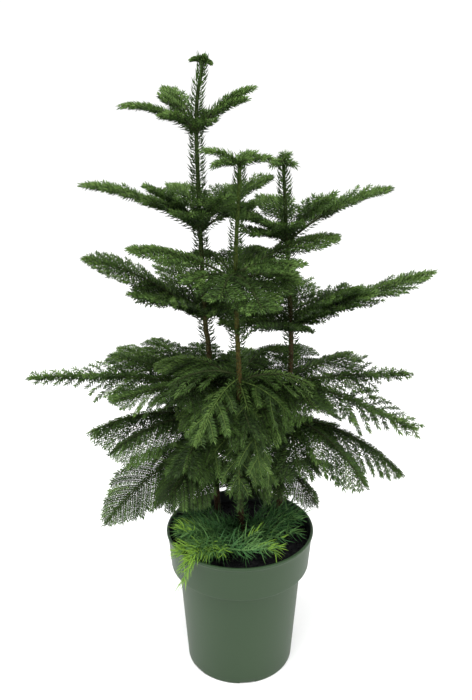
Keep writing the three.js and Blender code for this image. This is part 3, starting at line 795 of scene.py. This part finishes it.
def ramp(tree, factor, stops):
    """A colour ramp with stops of (place, colour)."""
    node = tree.nodes.new("ShaderNodeValToRGB")
    elements = node.color_ramp.elements
    for index, (place, colour) in enumerate(stops):
        element = elements[index] if index < 2 else elements.new(place)
        element.position = place
        element.color = (*colour, 1)
    tree.links.new(factor, node.inputs["Fac"])
    return node.outputs["Color"]


def bump(tree, shader, height, distance, strength=1.0):
    node = tree.nodes.new("ShaderNodeBump")
    node.inputs["Distance"].default_value = distance
    node.inputs["Strength"].default_value = strength
    tree.links.new(height, node.inputs["Height"])
    tree.links.new(node.outputs["Normal"], shader.inputs["Normal"])


def mottled(name, colour, stops, roughness, specular, scale, detail=4.0, stretch=(1, 1, 1)):
    """A material mottled by noise with the colours of a ramp, over one plain colour."""
    material, tree, shader = principled(name, colour, roughness, specular)
    colours = ramp(tree, noise(tree, scale, detail, stretch), stops)
    tree.links.new(colours, shader.inputs["Base Color"])
    return material, tree, shader


def pot_material():
    stops = [(0.3, (0.018, 0.038, 0.0155)), (0.7, (0.022, 0.044, 0.0185))]
    material, tree, shader = mottled("pot_plastic", (0.020, 0.041, 0.017), stops, roughness=0.45,
                                     specular=0.22, scale=9, stretch=(1, 1, 0.35))
    bump(tree, shader, noise(tree, scale=900, detail=2), distance=0.00012, strength=0.6)
    return material


def painted_shade_inside_material():
    # Painted shade: the inside of the pot gets a near-black colour for the shade within it.
    stops = [(0.35, (0.009, 0.012, 0.011)), (0.75, (0.020, 0.026, 0.022))]
    return mottled("pot_inside_shade", (0.012, 0.016, 0.014), stops, roughness=0.5, specular=0.35, scale=60)[0]


def soil_material():
    stops = [(0.35, (0.002, 0.0022, 0.003)), (0.55, (0.005, 0.005, 0.006)), (0.75, (0.020, 0.018, 0.018))]
    material, tree, shader = mottled("soil", (0.02, 0.014, 0.01), stops, roughness=0.9, specular=0.15,
                                     scale=260, detail=6)
    bump(tree, shader, noise(tree, scale=700, detail=6), distance=0.0006)
    return material


def bark_material(name, foot, middle, tip):
    """Bark whose colour goes from its foot's to its tip's, with scaly flecks."""
    material, tree, shader = principled(name, middle, roughness=0.8, specular=0.1)
    place = tree.nodes.new("ShaderNodeTexCoord")
    parts = tree.nodes.new("ShaderNodeSeparateXYZ")
    height = tree.nodes.new("ShaderNodeMapRange")
    for end, value in zip(("From Min", "From Max"), BARK_CHANGES):
        height.inputs[end].default_value = value * MM
    tree.links.new(place.outputs["Object"], parts.inputs["Vector"])
    tree.links.new(parts.outputs["Z"], height.inputs["Value"])
    colour = ramp(tree, height.outputs["Result"], [(0.0, foot), (0.5, middle), (1.0, tip)])
    fleck = noise(tree, scale=420, stretch=(1, 1, 0.5))
    flecks = ramp(tree, fleck, [(0.36, (0.45, 0.42, 0.40)), (0.62, (1.25, 1.2, 1.1))])
    product = tree.nodes.new("ShaderNodeMix")
    product.data_type = "RGBA"
    product.blend_type = "MULTIPLY"
    product.inputs["Factor"].default_value = 1
    tree.links.new(colour, product.inputs["A"])
    tree.links.new(flecks, product.inputs["B"])
    tree.links.new(product.outputs["Result"], shader.inputs["Base Color"])
    bump(tree, shader, noise(tree, scale=600), distance=0.0004)
    return material


def wood_material(name, colour):
    """Young wood in lighter and darker shades of one colour."""
    dark, light = (tuple(shade * value for value in colour) for shade in (0.7, 1.35))
    return mottled(name, colour, [(0.35, dark), (0.65, light)], roughness=0.75, specular=0.15, scale=300)[0]


def plain_material(name, colour, roughness, specular=0.35):
    return principled(name, colour, roughness, specular)[0]


# ------------------------ building the plant

LIMBS = all_limbs()


def limbs_of(stem_name):
    return [limb for limb in LIMBS if limb.stem == stem_name]


def build_bark(stem):
    """One stem with leaf scars and flaky relief."""
    heights = np.arange(SOIL_TOP - 2, stem["knots"][-1][2] + 3, BARK_STEP)
    turn = np.linspace(0, 2 * math.pi, BARK_SIDES, endpoint=False)[None]
    level = heights[:, None]
    scars = np.sin(level * 2.3 + 3 * np.sin(turn * 2 + level * 0.3)) * np.sin(turn * 5 + level * 1.9)
    flakes = RNG.normal(0, 1, (len(heights), BARK_SIDES))
    radii = trunk_radius(stem, np.maximum(level, SOIL_TOP)) * (1 + BARK_SCARS * scars + BARK_FLAKES * flakes)
    for tier in stem["tiers"]:
        radii = radii + TIER_SWELL * np.exp(-((level - tier["height"]) / TIER_SWELL_HEIGHT) ** 2)
    name = stem["name"]
    wood = tube(stem_path(stem, heights), radii, BARK_SIDES, reference=RIGHT)
    piece = mesh_piece(f"bark_{name}", *wood, bark_material(f"bark_{name}", *BARK_COLOURS[name]))
    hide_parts(f"trunk_{name}")


def build_limbs(stem):
    """The wood of a stem's limbs, knotty and thin, from inside the stem to the last spray."""
    name = stem["name"]
    wood, ribs = [], []
    for limb in limbs_of(name):
        stations = max(int(limb.reach / LIMB_STEP), 6)
        share = np.linspace(0, 1 - LIMB_END / limb.reach, stations)
        knots = LIMB_KNOTS * np.sin(np.arange(stations) * 2.1)[:, None]
        relief = 1 + knots + RNG.normal(0, LIMB_FLAKES, (stations, LIMB_SIDES))
        flare = LIMB_FLARE * np.exp(-share * limb.reach / LIMB_FLARE_LENGTH)
        radii = (mix(LIMB_ROOT_RADIUS, LIMB_TIP_RADIUS, share) + flare)[:, None] * relief
        if limb.soft == LIGHT_RIBS:
            ribs.append(tube(limb_at(limb, share), radii * RIB_RADIUS, LIMB_SIDES))
        else:
            wood.append(tube(limb_at(limb, share), radii, LIMB_SIDES))
    piece = mesh_piece(f"limbs_{name}", *joined(wood), wood_material(f"limbs_{name}", LIMB_COLOUR))
    boughs = [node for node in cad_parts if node.startswith(f"bough_{name}")]
    if boughs:
        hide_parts(*boughs)
    if ribs:
        piece = mesh_piece(f"ribs_{name}", *joined(ribs), wood_material(f"ribs_{name}", RIB_COLOUR))


def spray_lightness(limb, leafy):
    """How light a spray is, from 0 to 1: lighter on young tiers and towards the limb's tip, with painted
    shade that darkens lower tiers, the inner part of limbs, limbs facing the front and fillers.
    """
    age = min(limb.age, 1)
    # how far a limb faces the front, for its painted shade
    front = min(age / FULL_FRONT_AGE, 1) * max(-limb.outward[1], 0)
    # darker on lower, older tiers: older needles and painted shade
    level = LIGHTNESS - OLD_AND_SHADED_DARKER * max(age - DARKER_AGE, 0)
    # lighter towards the limb's tip: young needles, and painted shade nearer the stem
    level += LIMB_TIP_LIGHTER * leafy * (1 - LIMB_TIP_OLD * age) * (1 - front)
    # painted shade on limbs that face the front and on filler limbs
    level -= FRONT_PAINTED_SHADE * front + FILLER_PAINTED_SHADE * limb.filler
    if limb.soft == LIGHT_RIBS:
        level += RIBBED_LIGHTER
    return level + RNG.normal(0, SPRAY_VARIES)


def deal(piles, needles, level):
    """Lays a spray's needles on the piles of their colours: light at its tip, and lighter on its upper side
    as painted light from above.
    """
    # needles that face up are dealt lighter colours: painted light from above
    own = (level + TIP_LIGHTER * (needles["share"] - TIP_LIGHTER_FROM) + TOP_PAINTED_LIGHT * needles["radial"][:, 2]
           + RNG.normal(0, NEEDLE_VARIES, len(needles["share"])))
    place = np.clip(own * len(piles), 0, len(piles) - 1).astype(int)
    for index, pile in enumerate(piles.values()):
        chosen = place == index
        if chosen.any():
            pile.append({key: value[chosen] for key, value in needles.items()})


def shoot_kind(limb, scale):
    """The kind of needle on a limb's side shoots, and its scale."""
    if limb.soft:
        return SOFT_SHOOT, 1
    if limb.bushy:
        return YOUNG_SHOOT, 1
    if limb.age > OLD_AGE:
        return OLD_SHOOT, 1
    if limb.age < TOP_AGE:
        return TOP_SHOOT, 1
    return YOUNG_SHOOT if limb.age < YOUNG_AGE else SIDE_SHOOT, scale


def grow_foliage(limb, piles, twigs):
    """Deals the needles of a limb on the piles of their shapes, and adds its side shoots to the twigs."""
    scale = mix(1, OLD_SCALE, limb.age)
    path = limb_at(limb, np.linspace(0.02, 1, 40))
    if limb.reach < BUD_REACH:
        deal(piles["awl"], needles_on(path, UP, BUD, 1, BUD_WOOD), spray_lightness(limb, 0.2))
        return
    middle = int(len(path) * limb.bare)
    for part, kind, wood, leafy in ((path[:middle + 1], BARE_LIMB, BARE_WOOD, 0),
                                    (path[middle:], LEAFY_LIMB, LEAFY_WOOD, 0.5)):
        deal(piles["awl"], needles_on(part, UP, kind, scale, wood), spray_lightness(limb, leafy))
    kind, scale = shoot_kind(limb, scale)
    pile = piles["lance" if kind is SIDE_SHOOT else "blade"]
    radii = OLD_TWIG_RADII if kind is OLD_SHOOT else TWIG_RADII
    for shoot in side_shoots(limb):
        twigs.append(tube(shoot.path, np.linspace(*radii, len(shoot.path)), 3))
        needles = needles_on(shoot.path, shoot.up, kind, scale, TWIG_WOOD, OLD_FLAT * limb.age)
        deal(pile, needles, spray_lightness(limb, shoot.leafy))


def build_foliage(stem):
    """The twigs and needles of one stem, in one piece of twigs and one of needles for each colour."""
    name = stem["name"]
    twigs, soft_twigs = [], []
    piles = {shape: {colour: [] for colour in NEEDLE_COLOURS} for shape in ("lance", "blade", "awl")}
    for limb in limbs_of(name):
        grow_foliage(limb, piles, soft_twigs if limb.soft == LIGHT_RIBS else twigs)
    path = stem_path(stem, np.linspace(LEADER_START, stem["knots"][-1][2] + 3, 80))
    wood = (trunk_radius(stem, LEADER_START), TRUNK_TIP_RADIUS)
    deal(piles["awl"], needles_on(path, RIGHT, LEADER, 1, wood), LEADER_LIGHTNESS)
    nodes = [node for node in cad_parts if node.startswith((f"spray_{name}", f"crown_{name}"))]
    # twigs take TWIG_COLOUR, darkened partly as painted shade
    for kind, parts, colour in (("twigs", twigs, TWIG_COLOUR), ("soft_twigs", soft_twigs, RIB_COLOUR)):
        if parts:
            material = plain_material(f"{kind}_{name}", colour, roughness=0.7, specular=0.15)
            piece = mesh_piece(f"{kind}_{name}", *joined(parts), material)
            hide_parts(*nodes)
    for shade, colour in NEEDLE_COLOURS.items():
        parts = [needle_mesh(needles, shape) for shape in piles for needles in piles[shape][shade]]
        if parts:
            material = plain_material(f"needle_{name}_{shade}", colour, roughness=0.5, specular=0.12)
            piece = mesh_piece(f"needles_{name}_{shade}", *joined(parts), material, smooth=False)
            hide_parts(*nodes)


def young_axes(limb):
    """The centre lines of a young shoot: its own, and those of the few shoots that fork from it."""
    axes = [limb_at(limb, np.linspace(0, 1, 30))]
    for i, place in enumerate(YOUNG_FORKS):
        along, side, up = limb_frame(limb, np.array(place))
        hand = 1 if i % 2 else -1
        spread = YOUNG_FORK_VARIES * (chance(limb.number, 4 * i) - 0.5)
        fork = math.radians(YOUNG_FORK_ANGLE + spread) * hand
        heading = along * math.cos(fork) + side * math.sin(fork)
        reach = limb.reach * (YOUNG_FORK_REACH - YOUNG_FORK_TAPER * place)
        axes.append(curved_path(limb_at(limb, place), heading, along, up, reach, limb, place, points=14))
    kept = []
    for axis in axes:
        hits = np.flatnonzero(blocked(axis[1:]))
        end = hits[0] + 1 if len(hits) else len(axis)
        if end > 4:
            kept.append(axis[:end])
    return kept


def free(needles):
    """The needles that reach into no stem, soil or wall."""
    heading = needle_axes(needles)[0] * needles["length"][:, None]
    inside = sum(blocked(needles["at"] + heading * share) for share in (0.35, 0.7, 1))
    return {key: value[inside == 0] for key, value in needles.items()}


def build_young_shoots():
    """The soft shoots on the soil and the stem's foot, with long thin needles."""
    twigs = []
    piles = {shade: [] for shade in YOUNG_COLOURS}
    for limb in limbs_of("fan"):
        for axis in young_axes(limb):
            twigs.append(tube(axis, np.linspace(*YOUNG_WOOD, len(axis)), 5))
            needles = free(needles_on(axis, UP, YOUNG_AXIS, 1, YOUNG_WOOD))
            reached = np.maximum((needles["at"] - limb.root) @ limb.outward / limb.reach, 0)
            level = YOUNG_LIGHTNESS + RNG.normal(0, YOUNG_VARIES)
            deal(piles, needles, level + limb.golden * reached ** 3)
    path = stem_path(STEMS[1], np.linspace(*FOOT_HEIGHTS, 20))
    wood = (TRUNK_FOOT_RADIUS, TRUNK_FOOT_RADIUS)
    deal(piles, needles_on(path, RIGHT, FOOT_NEEDLE, 1, wood), FOOT_LIGHTNESS)
    for shade, colour in YOUNG_COLOURS.items():
        points, faces = joined([curved_needle_mesh(needles) for needles in piles[shade]])
        material = plain_material(f"young_{shade}", colour, roughness=0.5, specular=0.12)
        piece = mesh_piece(f"young_{shade}", points, faces, material, smooth=False)
        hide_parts("shoots_left", "shoots_right")
    material = plain_material("young_twig", YOUNG_COLOURS["light"], roughness=0.6)
    piece = mesh_piece("young_twigs", *joined(twigs), material)
    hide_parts("shoots_left", "shoots_right")


# ------------------------ pot and soil


def arc(centre, radius, start, end, points=5):
    """Points (radius, height) of an arc in the profile's plane, from one angle to another in degrees."""
    angles = np.radians(np.linspace(start, end, points))
    return [(centre[0] + radius * math.cos(a), centre[1] + radius * math.sin(a)) for a in angles]


def line(start, end, shares):
    """Points of a straight stretch of the profile, at these shares of it."""
    return [(mix(start[0], end[0], share), mix(start[1], end[1], share)) for share in shares]


def closed_grid(columns, rows):
    """The quads of a grid of points that closes on itself both ways."""
    column = np.arange(columns)[:, None] * rows
    beyond = np.roll(column, -1, axis=0)
    row = np.arange(rows)[None]
    after = (row + 1) % rows
    return np.stack([column + row, beyond + row, beyond + after, column + after], axis=-1).reshape(-1, 4)


def pot_profile():
    """The pot's profile from the middle of its foot up to the rim, and the inner one back down."""
    step = POT_HEIGHT - COLLAR_HEIGHT
    lip = POT_HEIGHT - LIP_HEIGHT
    notch = FOOT_RADIUS - NOTCH_DEPTH
    rim = COLLAR_TOP_RADIUS - WALL
    outside = [
        (AXIS_GAP, 0.0),
        *[(radius, 0.0) for radius in np.linspace(8, notch - 0.1, 5)],
        (notch, 0.0),
        *arc((FOOT_RADIUS - FOOT_ROUND, FOOT_ROUND), FOOT_ROUND, -90, -4),
        *line((FOOT_RADIUS, FOOT_ROUND), (BODY_TOP_RADIUS, step), np.linspace(0.04, 0.985, 14)),
        (BODY_TOP_RADIUS + 0.3, step - 0.6),
        (BODY_TOP_RADIUS + 1.2, step),
        *arc((COLLAR_FOOT_RADIUS - COLLAR_ROUND, step + COLLAR_ROUND), COLLAR_ROUND, -90, 0),
        *line((COLLAR_FOOT_RADIUS, step + COLLAR_ROUND), (COLLAR_TOP_RADIUS, lip),
              np.linspace(0.08, 0.97, 8)),
        (COLLAR_TOP_RADIUS + 0.25, lip - 0.2),
        *arc((LIP_RADIUS - LIP_ROUND, lip + LIP_ROUND), LIP_ROUND, -80, 0, RIM_POINTS),
        *arc((LIP_RADIUS - LIP_ROUND, POT_HEIGHT - LIP_ROUND), LIP_ROUND, 0, 90, RIM_POINTS),
    ]
    inside = [
        *arc((rim + RIM_ROUND, POT_HEIGHT - RIM_ROUND), RIM_ROUND, 90, 180, RIM_POINTS),
        *line((rim, POT_HEIGHT - 1.5), (COLLAR_FOOT_RADIUS - WALL, step + WALL), np.linspace(0, 1, 6)),
        (BODY_TOP_RADIUS - WALL, step + WALL),
        (FOOT_RADIUS - WALL, FLOOR),
        (AXIS_GAP, FLOOR),
    ]
    return outside, inside


def pot_turns(half):
    """The angles of the pot's columns, with two close together at each side of each notch."""
    turns = set(np.round(np.arange(0, 360, TURN_STEP), 3))
    for i in range(NOTCHES):
        middle = NOTCH_ANGLE + 360 * i / NOTCHES
        for edge in (half - NOTCH_SIDE, half + NOTCH_SIDE):
            turns |= {round((middle + sign * edge) % 360, 3) for sign in (-1, 1)}
    return np.radians(sorted(turns))


def build_pot():
    outside, inside = pot_profile()
    profile = np.array(outside + inside)
    rows = len(profile)
    half = math.degrees(NOTCH_WIDTH / 2 / FOOT_RADIUS)
    turns = pot_turns(half)
    radius = np.tile(profile[:, 0], (len(turns), 1))
    height = np.tile(profile[:, 1], (len(turns), 1))
    pitch = 360 / NOTCHES
    from_notch = (np.degrees(turns) - NOTCH_ANGLE + pitch / 2) % pitch - pitch / 2
    in_notch = (np.abs(from_notch) < half)[:, None]
    raised = in_notch & (height < NOTCH_HEIGHT) & (radius > FOOT_RADIUS - NOTCH_DEPTH - 0.05)
    height = np.where(raised, NOTCH_HEIGHT, height)
    places = np.outer(np.cos(turns), profile[:, 0]), np.outer(np.sin(turns), profile[:, 0]), height
    points = np.stack(places, axis=-1)
    piece = mesh_piece("pot_shell", points.reshape(-1, 3), closed_grid(len(turns), rows), pot_material())
    # the inner wall below the rim takes the near-black painted shade material
    piece.data.materials.append(painted_shade_inside_material())
    row = np.tile(np.arange(rows), len(turns))
    dark = (row >= len(outside) + RIM_POINTS) & (row < rows - 1)
    piece.data.polygons.foreach_set("material_index", dark.astype(np.int32))
    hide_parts("pot")


def build_soil(material):
    """Potting soil that fills the pot, with a rough top."""
    edge = COLLAR_TOP_RADIUS - WALL - SOIL_EDGE_GAP
    radius = np.concatenate([[SOIL_CENTRE], np.linspace(2, edge, SOIL_RINGS)])
    turn = np.linspace(0, 2 * math.pi, SOIL_SPOKES, endpoint=False)
    rough = RNG.normal(0, SOIL_ROUGHNESS, (SOIL_SPOKES, len(radius)))
    swell = sum(np.sin(radius[None] / size + 5 * np.sin(turn[:, None] * fold + fold)) * size * SWELL_HEIGHT
                for fold, size in SWELLS)
    top = SOIL_TOP - SOIL_SUNK + swell + rough * (radius > 4)
    points = np.stack([radius * np.cos(turn)[:, None], radius * np.sin(turn)[:, None], top], axis=-1)
    step = POT_HEIGHT - COLLAR_HEIGHT + WALL + SOIL_GAP
    skirt = [(COLLAR_FOOT_RADIUS - WALL - SOIL_GAP, step), (BODY_TOP_RADIUS - WALL - SOIL_GAP, step),
             (FOOT_RADIUS - WALL - SOIL_GAP, FLOOR + SOIL_GAP), (SOIL_CENTRE, FLOOR + SOIL_GAP)]
    lower = np.array([[(r * math.cos(a), r * math.sin(a), z) for r, z in skirt] for a in turn])
    points = np.concatenate([points, lower], axis=1)
    faces = closed_grid(*points.shape[:2])[:, [0, 3, 2, 1]]
    piece = mesh_piece("potting_soil", points.reshape(-1, 3), faces, material)
    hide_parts("soil")


def build_crumbs(material):
    """Loose crumbs on the soil, each a box with crooked corners."""
    corners = np.array([(x, y, z) for x in (-1, 1) for y in (-1, 1) for z in (-1, 1)], dtype=float)
    sides = [(0, 1, 3, 2), (4, 6, 7, 5), (0, 4, 5, 1), (2, 3, 7, 6), (0, 2, 6, 4), (1, 5, 7, 3)]
    crumbs = []
    for _ in range(CRUMBS):
        size = RNG.uniform(*CRUMB_SIZE)
        radius = RNG.uniform(0, 1) ** 0.5 * (COLLAR_TOP_RADIUS - CRUMB_MARGIN)
        angle = RNG.uniform(0, 2 * math.pi)
        centre = np.array([radius * math.cos(angle), radius * math.sin(angle), SOIL_TOP + size * 0.2])
        stretch = RNG.uniform(0.5, 1.3, 3) * size
        crooked = unit(corners + RNG.normal(0, 0.25, (8, 3)))
        crumbs.append((crooked * stretch + centre, sides))
    piece = mesh_piece("soil_crumbs", *joined(crumbs), material)


# ------------------------ floor, light and camera


def build_stage():
    """A white floor and room, with a large lamp overhead and one to either side."""
    bpy.ops.mesh.primitive_circle_add(vertices=96, radius=14, fill_type="NGON", location=(0, 0, 0))
    floor = bpy.context.object
    floor.name = "floor"
    floor.data.materials.append(plain_material("floor", (0.95, 0.95, 0.95), roughness=0.75, specular=0.2))

    world = bpy.data.worlds.new("studio")
    bpy.context.scene.world = world
    world.use_nodes = True
    background = world.node_tree.nodes["Background"]
    background.inputs["Color"].default_value = (1, 1, 1, 1)
    background.inputs["Strength"].default_value = 1.08

    for name, place, size, power in (
            ("overhead", (-0.2, -0.5, 2.6), 1.5, 62),
            ("left", (-1.9, -1.2, 1.5), 1.4, 30),
            ("right", (1.9, -1.2, 1.5), 1.4, 30)):
        light = bpy.data.lights.new(name, "AREA")
        light.size = size
        light.energy = power
        lamp = bpy.data.objects.new(name, light)
        bpy.context.scene.collection.objects.link(lamp)
        lamp.location = place
        aim = np.array(LAMPS_AIM) - np.array(place)
        pitch = math.atan2(-aim[2], math.hypot(aim[0], aim[1]))
        lamp.rotation_euler = (math.pi / 2 - pitch, 0, math.atan2(aim[1], aim[0]) - math.pi / 2)


def build_camera():
    """The view that the plant is known from: 20 degrees down, from about a metre in front."""
    camera = bpy.data.cameras.new("camera")
    camera.sensor_width = 36
    camera.lens = CAMERA_LENS
    camera.clip_start = 0.05
    rig = bpy.data.objects.new("camera", camera)
    bpy.context.scene.collection.objects.link(rig)
    rig.location = CAMERA_PLACE
    rig.rotation_euler = (math.radians(90 - CAMERA_PITCH), 0, 0)
    bpy.context.scene.camera = rig


build_pot()
soil = soil_material()
build_soil(soil)
build_crumbs(soil)
for each_stem in STEMS:
    build_bark(each_stem)
    build_limbs(each_stem)
    build_foliage(each_stem)
build_young_shoots()
build_stage()
build_camera()
bpy.context.scene.view_settings.view_transform = "Standard"
